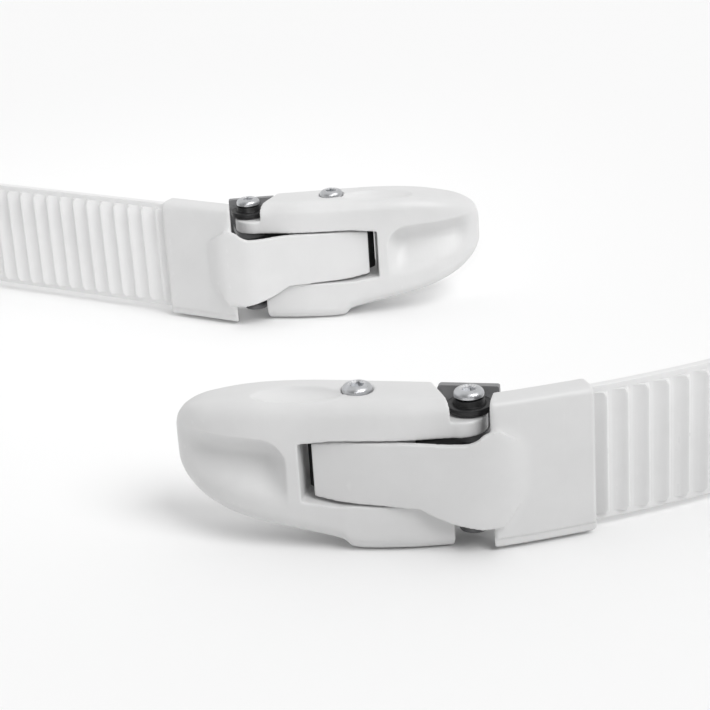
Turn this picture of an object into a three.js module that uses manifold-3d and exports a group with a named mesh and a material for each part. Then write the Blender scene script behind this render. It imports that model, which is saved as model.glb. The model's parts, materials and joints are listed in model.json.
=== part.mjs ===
// A pair of over-centre lever buckles with toothed ladder straps, as used on the cuffs of ski boots.
// Millimetres, +Z up. Each buckle is drawn in a frame of its own: the origin is on the base pivot's axis at
// mid width, +X runs towards the strap, +Y towards the boot, and both hinge axes are parallel to Z.
// The left buckle is the mirror image of the right one, apart from the bend of its strap.
import * as THREE from 'three';
import { mergeVertices } from 'three/addons/utils/BufferGeometryUtils.js';
import Module from 'manifold-3d';

const wasm = await Module();
wasm.setup();

// ---- driving dimensions ----
const armAbove = 15;           // mid width to the lever's upper edge, seen with the link screw on top
const armBelow = 17.2;         // mid width to the lever's lower edge, which also stands on the ground
const linkDistance = 22;       // base pivot to link pivot
const linkOffset = -1.5;       // the link pivot lies this far outside the base pivot
const leverReach = 61;         // base pivot to lever tip
const leverBack = 4.4;         // the lever's boot side, from the base pivot
const seatGap = 0.3;           // between faces that rest on each other
const runningGap = 0.4;        // between faces that slide or swing past each other

const barrelRadius = 2;        // both hinge barrels
const headRadius = 3.05;       // screw and barrel heads
const headHeight = 1.6;
const socketRadius = 1.5;      // hexagon socket, across corners
const shankRadius = 1.1;
const shankLength = 8;

const earInner = 5.2;          // base plate ears, from mid width
const earThickness = 1.5;
const earRadius = 3.8;
const lugThickness = 3.3;      // thinned lever arm that seats the washers
const wideWasherRadius = 4.6;
const wideWasherHeight = 1.4;
const smallWasherRadius = 3.1;
const smallWasherHeight = 1.2;

const tongueHalf = 5.7;        // receiver tongue, half height at its end
const coverWall = 1.5;
const hoodHalf = 11.6;         // the hood that hides the arm ends
const sleeveStart = 6;         // from the base pivot
const sleeveLength = 20.7;
const sleeveWall = 0.9;
const strapWidth = 29;
const strapMiddle = -0.7;      // strap and sleeve lie this far off mid width
const sleeveEdge = 0.7;        // wall past the strap's edges
const strapBase = 1.7;         // plain thickness
const toothHeight = 1.3;
const toothPitch = 4.6;
const toothCount = 22;
const strapBorder = 1.3;       // smooth edge beside the teeth
const padLength = 20;          // flat end with the rivet hole
const mountHoleRadius = 2.4;

const plateThickness = 1.6;
const plateGap = 0.8;          // lever's boot side to the plate
const plateReach = 30;         // how far the plate runs under the lever

const armInner = earInner + earThickness + runningGap;
const lugOuter = armInner + lugThickness;
const linkX = -linkDistance;
const tongueEnd = linkX - 8.6;
const slotLength = 10.95;       // link pivot to the slot's end wall
const pivotClearance = 0.3;     // round a barrel, in the pieces that it carries
const pinClearance = 0.2;

// ---- materials ----
const material = (color, roughness, metalness = 0) =>
  new THREE.MeshStandardMaterial({ color, roughness, metalness });
const whitePlastic = material(0xe9e9e8, 0.42);
const strapPlastic = material(0xededec, 0.38);
const blackPlastic = material(0x17181a, 0.5);
const platedSteel = material(0xb9bcc0, 0.3, 1);
const paintedSteel = material(0x4a4c50, 0.45, 0.6);
const springSteel = material(0x8f9296, 0.35, 1);

// ---- solids ----
function solid(geometry) {
  const bare = geometry.index ? geometry.toNonIndexed() : geometry.clone();
  bare.deleteAttribute('normal');
  bare.deleteAttribute('uv');
  const merged = mergeVertices(bare, 1e-4);
  return new wasm.Manifold(new wasm.Mesh({
    numProp: 3,
    vertProperties: new Float32Array(merged.attributes.position.array),
    triVerts: new Uint32Array(merged.index.array),
  }));
}

function geometryOf(manifold) {
  const mesh = manifold.getMesh();
  const geometry = new THREE.BufferGeometry();
  geometry.setAttribute('position', new THREE.BufferAttribute(mesh.vertProperties, 3));
  geometry.setIndex(new THREE.BufferAttribute(mesh.triVerts, 1));
  geometry.computeVertexNormals();
  return geometry;
}

// An outline in the XY plane, run along Z from low to high. A bevel narrows both ends.
function plate(outline, low, high, bevel = null) {
  const shape = outline instanceof THREE.Shape ? outline : new THREE.Shape(outline);
  const rise = bevel ? bevel.rise : 0;
  const geometry = new THREE.ExtrudeGeometry(shape, {
    depth: high - low - 2 * rise,
    curveSegments: 8,
    bevelEnabled: Boolean(bevel),
    bevelThickness: rise,
    bevelSize: bevel ? bevel.inset : 0,
    bevelOffset: bevel ? -bevel.inset : 0,
    bevelSegments: 2,
  });
  return solid(geometry.translate(0, 0, low + rise));
}

// An outline in the XZ plane, run along Y from near to far.
function frontPlate(outline, near, far) {
  const shape = new THREE.Shape(outline.map(([x, z]) => new THREE.Vector2(x, -z)));
  const geometry = new THREE.ExtrudeGeometry(shape, { depth: far - near, bevelEnabled: false });
  return solid(geometry.rotateX(-Math.PI / 2).translate(0, near, 0));
}

function post(radius, low, high, x = 0, y = 0, sides = 20) {
  const geometry = new THREE.CylinderGeometry(radius, radius, high - low, sides);
  return solid(geometry.rotateX(Math.PI / 2)).translate([x, y, (low + high) / 2]);
}

const bore = (radius, x = 0, y = 0, sides = 20) => post(radius, -40, 40, x, y, sides);

function block(low, high) {
  const size = high.map((value, axis) => value - low[axis]);
  const centre = high.map((value, axis) => (value + low[axis]) / 2);
  return solid(new THREE.BoxGeometry(...size)).translate(centre);
}

const mirrorZ = (manifold) => manifold.mirror([0, 0, 1]);
const bothSides = (manifold) => manifold.add(mirrorZ(manifold));
const vectors = (points) => points.map(([x, y]) => new THREE.Vector2(x, y));

// A smooth run of points through a few given ones.
function smooth(points, steps) {
  const curve = new THREE.SplineCurve(vectors(points));
  return curve.getPoints(steps).map((point) => [point.x, point.y]);
}

// ---- lever ----
// Sections from the base pivot to the tip: distance from the pivot, outer face, and how much narrower the
// lever is there than its arms, below and above.
const leverSections = [
  [-4, -6, 0, 0], [3, -6.6, 0, 0], [12, -8.6, 0, 0], [22.5, -9.5, 0, 0], [25.5, -9.7, 1.9, 0], [33, -9.9, 3.6, 0.1],
  [40, -9.9, 4.9, 0.5], [46, -9.3, 6.2, 1.2], [51, -8.1, 7.8, 2.2], [55, -6.3, 9.6, 3.8], [58, -4, 11.6, 5.8],
  [60, -1.4, 13.8, 8.2], [leverReach, 1, 15.6, 11],
].map(([distance, outer, dropBelow, dropAbove]) => [distance, outer, armBelow - dropBelow, armAbove - dropAbove]);
const cornerSteps = 3;

// A rounded rectangle in a YZ section; the boot side has tighter corners than the outer side.
function leverRing([distance, outer, below, above]) {
  const depth = leverBack - outer;
  const outerRound = Math.min(3.4, depth * 0.42, below * 0.8);
  const lowerRound = Math.min(1.8, depth * 0.4, below * 0.8);
  const bootRound = Math.min(1.8, depth * 0.3, below * 0.6);
  const corners = [
    [leverBack - bootRound, above - bootRound, bootRound, 0],
    [outer + outerRound, above - outerRound, outerRound, 1],
    [outer + lowerRound, -below + lowerRound, lowerRound, 2],
    [leverBack - bootRound, -below + bootRound, bootRound, 3],
  ];
  return corners.flatMap(([y, z, round, quarter]) =>
    Array.from({ length: cornerSteps + 1 }, (_, step) => {
      const turn = (quarter + step / cornerSteps) * Math.PI / 2;
      return new THREE.Vector3(-distance, y + round * Math.cos(turn), z + round * Math.sin(turn));
    }));
}

// Skins rings that all have the same number of points, and closes both ends.
function loft(rings) {
  const count = rings[0].length;
  const positions = rings.flat().flatMap((point) => point.toArray());
  const index = [];
  for (let ring = 0; ring < rings.length - 1; ring += 1) {
    for (let side = 0; side < count; side += 1) {
      const a = ring * count + side;
      const b = ring * count + (side + 1) % count;
      index.push(a, a + count, b, b, a + count, b + count);
    }
  }
  const last = (rings.length - 1) * count;
  for (let side = 1; side < count - 1; side += 1) {
    index.push(0, side, side + 1, last, last + side + 1, last + side);
  }
  const geometry = new THREE.BufferGeometry();
  geometry.setAttribute('position', new THREE.Float32BufferAttribute(positions, 3));
  geometry.setIndex(index);
  return solid(geometry);
}

function ellipsoid(radii, centre, turn = 0) {
  const geometry = new THREE.SphereGeometry(1, 24, 14).scale(...radii).rotateZ(turn);
  return solid(geometry.translate(...centre));
}

const headSeat = -armBelow + 2.4;   // the link barrel's head lies in a counterbore
const linkSeat = armAbove - 0.7;    // and so does the foot of the link screw's head

function makeLever() {
  const wall = linkX - slotLength;
  const slotEnd = tongueHalf + runningGap + 0.1;
  const slot = frontPlate([
    [wall, -slotEnd], [wall + 7, -armInner], [10, -armInner], [10, armInner], [wall + 7, armInner], [wall, slotEnd],
  ], -20, 20);
  const lugEnd = plate(new THREE.Shape().absarc(-1.8, -1, 5.5, 0, 2 * Math.PI), -lugOuter, lugOuter);
  const arms = loft(leverSections.map(leverRing));
  const seatTurn = 28;
  const seatDistance = wideWasherRadius + 0.8;
  const beyondSeat = block([0, -20, lugOuter], [20, 20, 20]).translate([-seatDistance, 0, 0])
    .rotate([0, 0, seatTurn]);
  const beyondLug = block([-1.8, -20, -20], [20, 20, 20]);
  const scoop = ellipsoid([18.5, 5.2, 6.8], [-51.5, -11.3, 2.2], THREE.MathUtils.degToRad(-7));
  const dimple = ellipsoid([10, 4.6, 1.2], [-34.5, -4.4, armAbove + 0.1], 0);
  const bootPocket = block([-54, 0.2, -5], [wall - 3, leverBack + 1, 7]);
  const headRoom = headRadius + 0.25;
  const counterbore = post(headRoom, -armBelow - 1, headSeat, linkX, linkOffset)
    .add(post(headRoom, linkSeat, armAbove + 1, linkX, linkOffset));
  return arms.subtract(beyondLug).add(lugEnd)
    .subtract(slot)
    .subtract(bothSides(beyondSeat))
    .subtract(bore(barrelRadius + pivotClearance))
    .subtract(bore(barrelRadius + pivotClearance, linkX, linkOffset))
    .subtract(counterbore).subtract(scoop).subtract(dimple).subtract(bootPocket);
}

// ---- hinge hardware ----
function makeBarrel(low, top, x = 0, y = 0) {
  const tube = post(barrelRadius, low + headHeight - 0.1, top, x, y);
  const head = post(headRadius, low, low + headHeight, x, y);
  return head.add(tube).subtract(post(shankRadius + 0.3, top - shankLength - 1, top + 1, x, y, 16));
}

function makeScrew(seat, x = 0, y = 0) {
  const profile = [
    [0, 0], [headRadius, 0], [headRadius, 0.5], [headRadius * 0.86, 1.15], [headRadius * 0.6, headHeight], [0, headHeight],
  ];
  const head = solid(new THREE.LatheGeometry(vectors(profile), 20).rotateX(Math.PI / 2)).translate([x, y, seat]);
  const shank = post(shankRadius, seat - shankLength, seat + 0.2, x, y, 16);
  const socket = post(socketRadius, seat + 0.5, seat + 3, x, y, 6);
  return head.add(shank).subtract(socket);
}

function makeWashers() {
  const wide = post(wideWasherRadius, lugOuter + seatGap, lugOuter + seatGap + wideWasherHeight);
  const top = lugOuter + seatGap + wideWasherHeight + smallWasherHeight;
  return wide.add(post(smallWasherRadius, lugOuter + seatGap + 0.5, top))
    .subtract(post(barrelRadius + 0.2, lugOuter, top + 1));
}
const washerTop = lugOuter + seatGap + wideWasherHeight + smallWasherHeight;

// ---- base plate ----
function makeBasePlate() {
  const near = leverBack + plateGap;
  const far = near + plateThickness;
  const back = frontPlate([
    [-plateReach, -10], [-8, -11], [-7, -13.4], [5.2, -13.4], [5.2, 13.4], [-7, 13.4], [-8, 11], [-plateReach, 10],
  ], near, far);
  const ear = new THREE.Shape();
  ear.absarc(0, 0, earRadius, Math.PI, 2 * Math.PI);
  ear.lineTo(4.8, far - 0.2);
  ear.lineTo(-4.8, far - 0.2);
  const upperEar = plate(ear, earInner, earInner + earThickness);
  const mountHole = frontPlate(smallCircle(-19, 0, mountHoleRadius), 0, 20);
  return back.add(bothSides(upperEar)).subtract(bore(barrelRadius + pivotClearance)).subtract(mountHole);
}

function smallCircle(x, z, radius) {
  return new THREE.Path().absarc(x, z, radius, 0, 2 * Math.PI).getSpacedPoints(24).slice(0, -1)
    .map((point) => [point.x, point.y]);
}

// ---- strap route ----
// The sleeve's outer face and the strap follow one line, which starts where the hood meets the sleeve.
// It bends evenly as far as the strap's flat end.
const strapStart = 1.6;
const toothedLength = toothCount * toothPitch;
const bendLength = strapStart + toothedLength + 4;
const strapEnd = bendLength + padLength;

function route({ startY, heading, bend }) {
  const start = THREE.MathUtils.degToRad(heading);
  return (distance, inward = 0) => {
    const bent = Math.min(distance, bendLength);
    const turn = start + bend * bent;
    const bentX = bend ? (Math.sin(turn) - Math.sin(start)) / bend : bent * Math.cos(start);
    const bentY = bend ? (Math.cos(start) - Math.cos(turn)) / bend : bent * Math.sin(start);
    const x = sleeveStart + bentX + (distance - bent) * Math.cos(turn);
    const y = startY + bentY + (distance - bent) * Math.sin(turn);
    return [x - inward * Math.sin(turn), y + inward * Math.cos(turn)];
  };
}

// The outline between two depths below the route's line.
function band(at, from, to, outer, inner, steps) {
  const stations = Array.from({ length: steps + 1 }, (_, step) => THREE.MathUtils.lerp(from, to, step / steps));
  const inside = stations.map((distance) => at(distance, inner)).reverse();
  return vectors([...stations.map((distance) => at(distance, outer)), ...inside]);
}

// ---- receiver ----
const strapFront = sleeveWall + runningGap;             // tooth tips below the sleeve's outer face
const strapBack = strapFront + toothHeight + strapBase;
const sleeveDepth = strapBack + runningGap + sleeveWall;
const frameHalf = earInner - runningGap;
const pawlHalf = 2.8;
const pawlPinRadius = 0.75;
const pawlPinX = 0.4;
const pawlPinY = ({ startY }) => startY + 0.9;
const coverPinRadius = 0.8;
const coverPinAt = [linkX + 8, -6.1];
const cheekOuter = armInner - 0.7;
const linkBossRadius = 3.2;
const pawlBossRadius = 1.45;
const coverPinBossRadius = 1.6;
const frameWall = 1.6;

function hoodLine(side) {
  const { startY } = side;
  const end = route(side)(8, 0.4);
  return smooth([
    [tongueEnd, -7.9], [linkX - 3, -8.7], [linkX + 5, -9.4], [linkX + 14, -9.9], [0, startY - 2.6],
    [sleeveStart - 1, startY - 1.5], [sleeveStart + 3, startY + 0.3], end,
  ], 24);
}

function makeCover(side) {
  const at = route(side);
  const outer = hoodLine(side);
  const inner = outer.map(([x, y]) => [x, y + coverWall]).reverse();
  const skin = plate(vectors([...outer, ...inner]), -20, 20);
  const tongue = [
    [tongueEnd, tongueHalf - 0.6], [tongueEnd + 0.6, tongueHalf], [linkX - 3, cheekOuter], [linkX + 13, armInner - 0.2],
  ];
  const rise = [
    [linkX + 15, armInner - 1.1], [0, armInner - 1.3], [2.4, armInner - 0.4], [3.8, armInner + 1.2],
    [sleeveStart - 0.6, armInner + 1.9], [sleeveStart + 1, hoodHalf],
  ];
  const drop = [[linkX + 16, -armInner - 1.5], [-2, -armInner - 3.2], [3, -hoodHalf], [sleeveStart + 1, -hoodHalf]];
  const fade = [[sleeveStart + 5, 6], [sleeveStart + 9, 4], [sleeveStart + 9, -4], [sleeveStart + 5, -6]];
  const below = [...tongue.map(([x, z]) => [x, -z]), ...drop].reverse();
  const face = skin.intersect(frontPlate([...tongue, ...rise, ...fade, ...below], -20, 20));
  const cheekOutline = [
    ...outer.filter(([x]) => x < linkX + 12), [linkX + 12, -5.4], [linkX + 4, 1.2], [linkX - 3, 1.6], [linkX - 6.5, -3],
    [tongueEnd, -6],
  ];
  const cheek = plate(vectors(cheekOutline), frameHalf + seatGap, cheekOuter).intersect(frontPlate([
    [tongueEnd, 0], [tongueEnd, tongueHalf - 0.1], [tongueEnd + 0.6, tongueHalf], [linkX - 3, cheekOuter],
    [linkX + 13, cheekOuter], [linkX + 13, 0],
  ], -20, 20));
  const inside = strapWidth / 2 + runningGap;
  const outside = inside + sleeveEdge;
  const shell = plate(band(at, -1, sleeveLength, 0, sleeveDepth, 10),
    strapMiddle - outside, strapMiddle + outside, { rise: 2.6, inset: 0.8 })
    .subtract(block([-20, -20, -20], [sleeveStart - 1, 20, 20]));
  const passage = plate(band(at, -2, sleeveLength + 1, sleeveWall, sleeveDepth - sleeveWall, 10),
    strapMiddle - inside, strapMiddle + inside);
  const pawlRoom = plate(vectors([
    [2, side.startY + 4], [2, side.startY - 1], [5, side.startY - 0.9], [7.7, side.startY - 0.2], [7.7, side.startY + 4],
  ]), -pawlHalf - runningGap, pawlHalf + runningGap);
  return shell.add(face).subtract(passage).subtract(pawlRoom)
    .add(bothSides(cheek))
    .subtract(bore(barrelRadius + pivotClearance, linkX, linkOffset))
    .subtract(bore(coverPinRadius + pinClearance, ...coverPinAt, 16));
}

function makeFrame(side) {
  const line = hoodLine(side).filter(([x]) => x > linkX - 2 && x < 3.6);
  const near = line.map(([x, y]) => [x, y + coverWall + seatGap]);
  const far = line.map(([x, y]) => [x, y + coverWall + seatGap + frameWall]).reverse();
  const spine = plate(vectors([...near, ...far]), -frameHalf, frameHalf);
  const web = plate(vectors([[linkX - 2, -6.6], [linkX + 4, -6.8], [linkX + 3, linkOffset], [linkX - 3, linkOffset]]),
    -frameHalf, frameHalf);
  const noseTop = hoodLine(side)[0][1] + coverWall + seatGap;
  const noseReach = slotLength - runningGap;      // clears the slot's end wall as the receiver swings
  const nose = plate(vectors([
    [tongueEnd + 0.2, noseTop + 0.2], [linkX - 1, noseTop - 0.6], [linkX - 1, linkOffset + 1.5],
    ...[-8, 0, 8, 14].map((turn) => THREE.MathUtils.degToRad(turn)).map((turn) => [
      linkX - noseReach * Math.cos(turn), linkOffset - noseReach * Math.sin(turn),
    ]),
  ]), -frameHalf, frameHalf);
  const pinY = pawlPinY(side);
  return spine.add(web).add(nose)
    .add(post(linkBossRadius, -frameHalf, frameHalf, linkX, linkOffset))
    .add(post(pawlBossRadius, -frameHalf, frameHalf, pawlPinX, pinY, 20))
    .add(post(coverPinBossRadius, -frameHalf, frameHalf, ...coverPinAt, 20))
    .subtract(block([pawlPinX - 2.2, -20, -pawlHalf - seatGap], [10, 20, pawlHalf + seatGap]))
    .subtract(bore(barrelRadius + pivotClearance, linkX, linkOffset))
    .subtract(bore(pawlPinRadius + pinClearance, pawlPinX, pinY, 16))
    .subtract(bore(coverPinRadius + pinClearance, ...coverPinAt, 16));
}

const pawlWidth = 3.2;         // the coil spring takes the rest of the slot in the frame
const pawlTop = pawlHalf;
const pawlLow = pawlTop - pawlWidth;

function makePawl(side) {
  const pinY = pawlPinY(side);
  const arm = plate(vectors([
    [pawlPinX, pinY - 1.2], [5, pinY - 1], [7.1, pinY - 0.5], [7.2, pinY + 0.1], [6.3, pinY + 0.3], [pawlPinX, pinY + 1.2],
  ]), pawlLow, pawlTop);
  return arm.add(post(pawlBossRadius - 0.1, pawlLow, pawlTop, pawlPinX, pinY, 20))
    .subtract(bore(pawlPinRadius + 0.15, pawlPinX, pinY, 16));
}

class Coil extends THREE.Curve {
  constructor(radius, turns, rise) {
    super();
    Object.assign(this, { radius, turns, rise });
  }

  getPoint(t, target = new THREE.Vector3()) {
    const turn = 2 * Math.PI * this.turns * t;
    return target.set(this.radius * Math.cos(turn), this.radius * Math.sin(turn), this.rise * t);
  }
}

function makePawlSpring(side) {
  const wire = 0.22;
  const room = pawlLow + pawlHalf;
  const section = new THREE.Shape(new THREE.Path().absarc(0, 0, wire, 0, 2 * Math.PI).getSpacedPoints(6).slice(0, -1));
  const coil = new Coil(pawlPinRadius + 0.2 + wire, 3, room - 4 * wire);
  const geometry = new THREE.ExtrudeGeometry(section, { steps: 42, extrudePath: coil });
  return solid(geometry).translate([pawlPinX, pawlPinY(side), -pawlHalf + 2 * wire]);
}

// ---- strap ----
function makeStrap(side) {
  const at = route(side);
  const root = strapFront + toothHeight;
  const low = strapMiddle - strapWidth / 2;
  const high = strapMiddle + strapWidth / 2;
  const web = plate(band(at, strapStart, strapEnd, root, strapBack, 30), low, high);
  const crests = [];
  for (let tooth = 0; tooth < toothCount; tooth += 1) {
    const foot = strapStart + tooth * toothPitch;
    crests.push(at(foot + 0.5, root + 0.2), at(foot + 0.9, root - toothHeight * 0.45));
    crests.push(at(foot + toothPitch - 1, strapFront), at(foot + toothPitch - 0.4, strapFront + 0.2));
    crests.push(at(foot + toothPitch - 0.1, root + 0.2));
  }
  const under = band(at, strapStart + 0.5, strapStart + toothedLength, root, root + 0.8, 24).slice(25);
  const teeth = plate([...vectors(crests), ...under], low + strapBorder, high - strapBorder);
  const [holeX, holeY] = at(strapEnd - padLength / 2, strapBack);
  const heading = THREE.MathUtils.degToRad(side.heading) + side.bend * bendLength;
  const hole = post(mountHoleRadius, -10, 10).rotate([90, 0, 0]).rotate([0, 0, THREE.MathUtils.radToDeg(heading)])
    .translate([holeX, holeY, strapMiddle]);
  return web.add(teeth).subtract(hole);
}

// ---- assembly ----
function makeBuckle(name, side) {
  const group = new THREE.Group();
  const add = (part, manifold, look) => {
    const mesh = new THREE.Mesh(geometryOf(manifold), look);
    mesh.name = `${name}_${part}`;
    group.add(mesh);
  };
  add('base_plate', makeBasePlate(), paintedSteel);
  add('pivot_barrel', makeBarrel(-washerTop - seatGap - headHeight, washerTop), paintedSteel);
  add('pivot_screw', makeScrew(washerTop + seatGap), platedSteel);
  add('upper_washers', makeWashers(), blackPlastic);
  add('lower_washers', mirrorZ(makeWashers()), blackPlastic);
  add('lever', makeLever(), whitePlastic);
  add('link_barrel', makeBarrel(headSeat - seatGap - headHeight, linkSeat, linkX, linkOffset), platedSteel);
  add('link_screw', makeScrew(linkSeat + seatGap, linkX, linkOffset), platedSteel);
  add('receiver_frame', makeFrame(side), blackPlastic);
  add('receiver_cover', makeCover(side), whitePlastic);
  add('cover_pin', post(coverPinRadius, -cheekOuter + 0.2, cheekOuter - 0.2, ...coverPinAt, 16), platedSteel);
  add('pawl', makePawl(side), blackPlastic);
  add('pawl_pin', post(pawlPinRadius, -frameHalf, frameHalf, pawlPinX, pawlPinY(side), 16), platedSteel);
  add('pawl_spring', makePawlSpring(side), springSteel);
  add('strap', makeStrap(side), strapPlastic);
  return group;
}

// Where each buckle lies: its base pivot on the ground plane and its turn about Z.
const right = { startY: -6.6, heading: 24.4, bend: 1 / 240 };
const left = { startY: -8.2, heading: 33.4, bend: 0 };
const rightTurn = -13.3;
const leftTurn = 2.3;
const leftPivot = [-47.2, 140.5];

const rightBuckle = makeBuckle('right', right);
rightBuckle.rotation.z = THREE.MathUtils.degToRad(rightTurn);
rightBuckle.position.set(0, 0, armBelow);

const leftBuckle = makeBuckle('left', left);
leftBuckle.scale.x = -1;
leftBuckle.rotation.z = THREE.MathUtils.degToRad(leftTurn);
leftBuckle.position.set(...leftPivot, armBelow);

// The pair's own origin is the centre of the ground that it covers.
const pair = new THREE.Group();
pair.add(rightBuckle, leftBuckle);
pair.updateMatrixWorld(true);
const middle = new THREE.Box3().setFromObject(pair, true).getCenter(new THREE.Vector3());
pair.position.set(-middle.x, -middle.y, 0);

export default pair;
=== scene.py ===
import json
import math

import bpy
from mathutils import Matrix, Vector


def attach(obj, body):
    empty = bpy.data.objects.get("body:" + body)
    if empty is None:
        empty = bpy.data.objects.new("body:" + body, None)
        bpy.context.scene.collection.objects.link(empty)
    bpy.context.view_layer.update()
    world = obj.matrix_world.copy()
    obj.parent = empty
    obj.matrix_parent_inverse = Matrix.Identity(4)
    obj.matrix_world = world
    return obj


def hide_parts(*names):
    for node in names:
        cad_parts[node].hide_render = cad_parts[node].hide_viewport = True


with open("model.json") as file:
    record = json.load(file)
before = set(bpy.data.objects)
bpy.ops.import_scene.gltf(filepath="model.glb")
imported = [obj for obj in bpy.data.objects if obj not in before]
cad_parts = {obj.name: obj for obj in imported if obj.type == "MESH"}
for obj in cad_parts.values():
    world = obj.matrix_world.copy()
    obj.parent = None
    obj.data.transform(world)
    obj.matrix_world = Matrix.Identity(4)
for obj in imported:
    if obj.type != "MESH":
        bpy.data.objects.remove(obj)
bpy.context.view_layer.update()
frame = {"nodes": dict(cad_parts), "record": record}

# Two lever buckles with ladder straps. Each piece is modelled in millimetres in its own buckle's frame: the
# origin is on the base pivot's axis at mid width, +X runs to the strap, +Y to the boot and +Z up. The
# finished mesh is then carried to its place, in metres.

MM = 0.001
JOINTS = {joint["name"]: joint for joint in frame["record"]["behaviour"]["joints"]}
MOUNTS = {mount["name"]: mount for mount in frame["record"]["mounts"]}

# ---- driving sizes, in millimetres ----
ARM_ABOVE, ARM_BELOW = 15.0, 17.2
LINK_X, LINK_Y = -22.0, -1.5
LEVER_BACK, LEVER_REACH = 4.4, 61.0
LUG_X, LUG_Y, LUG_R = -1.8, -1.0, 5.5
SLOT_WALL, SLOT_FLARE = -32.95, 7.0
SEAT_GAP, RUNNING_GAP = 0.3, 0.4
BARREL_R, HEAD_R, HEAD_HEIGHT, SHANK_LENGTH = 2.0, 3.05, 1.6, 8.0
SOCKET_R = 1.5
PIVOT_BORE_R, HEAD_BORE_R = BARREL_R + 0.3, HEAD_R + 0.25
EAR_INNER, EAR_THICKNESS, EAR_R = 5.2, 1.5, 3.8
ARM_INNER = EAR_INNER + EAR_THICKNESS + RUNNING_GAP
LUG_OUTER = ARM_INNER + 3.3
WIDE_WASHER_R, WIDE_WASHER_HEIGHT = 4.6, 1.4
SMALL_WASHER_R, SMALL_WASHER_HEIGHT = 3.1, 1.2
WASHER_SEAT = LUG_OUTER + SEAT_GAP
WASHER_TOP = WASHER_SEAT + WIDE_WASHER_HEIGHT + SMALL_WASHER_HEIGHT
HEAD_SEAT = -ARM_BELOW + 2.4
LINK_SEAT = ARM_ABOVE - 0.7
TONGUE_END, TONGUE_HALF, HOOD_HALF, COVER_WALL = -30.6, 5.7, 11.6, 1.5
SLEEVE_START, SLEEVE_LENGTH, SLEEVE_WALL, SLEEVE_EDGE = 6.0, 20.7, 0.9, 0.7
STRAP_WIDTH, STRAP_MIDDLE, STRAP_BORDER = 29.0, -0.7, 1.3
STRAP_BASE, TOOTH_HEIGHT, TOOTH_PITCH, TOOTH_COUNT = 1.7, 1.3, 4.6, 22
STRAP_START, PAD_LENGTH, MOUNT_HOLE_R = 1.6, 20.0, 2.4
STRAP_FRONT = SLEEVE_WALL + RUNNING_GAP
STRAP_ROOT = STRAP_FRONT + TOOTH_HEIGHT
STRAP_BACK = STRAP_ROOT + STRAP_BASE
SLEEVE_DEPTH = STRAP_BACK + RUNNING_GAP + SLEEVE_WALL
BEND_END = STRAP_START + TOOTH_COUNT * TOOTH_PITCH + 4
STRAP_END = BEND_END + PAD_LENGTH
PLATE_NEAR = LEVER_BACK + 0.8
PLATE_FAR = PLATE_NEAR + 1.6
FRAME_HALF, FRAME_WALL, LINK_BOSS_R = EAR_INNER - RUNNING_GAP, 1.6, 3.2
COVER_PIN, COVER_PIN_R, COVER_PIN_BOSS_R = (-14.0, -6.1), 0.8, 1.6
PAWL_PIN_R, PAWL_PIN_BOSS_R, PAWL_HALF, PAWL_WIDTH = 0.75, 1.45, 2.8, 3.2
PIN_GAP = 0.2
BEYOND = 20.0       # how far a cutting tool reaches past the work
DRILL = 30.0

SIDES = {
    "right": {"start_y": -6.6, "heading": math.radians(24.4), "bend": 1 / 240},
    "left": {"start_y": -8.2, "heading": math.radians(33.4), "bend": 0.0},
}


# ---- bench tools ----

def clear_bench():
    if bpy.context.object and bpy.context.object.mode != "OBJECT":
        bpy.ops.object.mode_set(mode="OBJECT")
    bpy.ops.object.select_all(action="DESELECT")


def pick_up(piece):
    clear_bench()
    piece.select_set(True)
    bpy.context.view_layer.objects.active = piece
    return piece


def settle(piece):
    """Carries the object's own place, turn and size into its mesh."""
    pick_up(piece)
    bpy.ops.object.transform_apply(location=True, rotation=True, scale=True)
    return piece


def face_outwards(piece):
    pick_up(piece)
    bpy.ops.object.mode_set(mode="EDIT")
    bpy.ops.mesh.select_all(action="SELECT")
    bpy.ops.mesh.remove_doubles(threshold=0.0005)
    bpy.ops.mesh.normals_make_consistent(inside=False)
    bpy.ops.object.mode_set(mode="OBJECT")
    return piece


def refine(piece, kind, **settings):
    """Adds one modifier with its settings and applies it."""
    pick_up(piece)
    modifier = piece.modifiers.new(kind.title(), kind)
    for setting, value in settings.items():
        setattr(modifier, setting, value)
    bpy.ops.object.modifier_apply(modifier=modifier.name)
    return piece


def combine(piece, operation, tools):
    for tool in tools:
        refine(piece, "BOOLEAN", operation=operation, solver="EXACT", object=tool)
        bpy.data.objects.remove(tool)
    return piece


def cut(piece, *tools):
    return combine(piece, "DIFFERENCE", tools)


def fuse(piece, *tools):
    return combine(piece, "UNION", tools)


def trim(piece, *tools):
    return combine(piece, "INTERSECT", tools)


def gather(piece, *others):
    """Makes one object of several, each with its own shell."""
    pick_up(piece)
    for other in others:
        other.select_set(True)
    bpy.ops.object.join()
    return piece


def extrude_ring(step):
    bpy.ops.object.mode_set(mode="EDIT")
    bpy.ops.mesh.extrude_region_move(TRANSFORM_OT_translate={"value": step})
    bpy.ops.object.mode_set(mode="OBJECT")


def slab(outline, low, high, along="Z"):
    """A blank with an outline in XY that is thick along Z, or with one in XZ that is thick along Y."""
    clear_bench()
    bpy.ops.mesh.primitive_circle_add(vertices=len(outline), radius=1, fill_type="NGON")
    blank = bpy.context.object
    for vertex, (first, second) in zip(blank.data.vertices, outline):
        vertex.co = (first, second, low) if along == "Z" else (first, low, second)
    extrude_ring((0, 0, high - low) if along == "Z" else (0, high - low, 0))
    return face_outwards(blank)


def rod(radius, low, high, x=0.0, y=0.0, sides=64):
    clear_bench()
    middle = (x, y, (low + high) / 2)
    bpy.ops.mesh.primitive_cylinder_add(vertices=sides, radius=radius, depth=high - low, location=middle)
    return settle(bpy.context.object)


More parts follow.
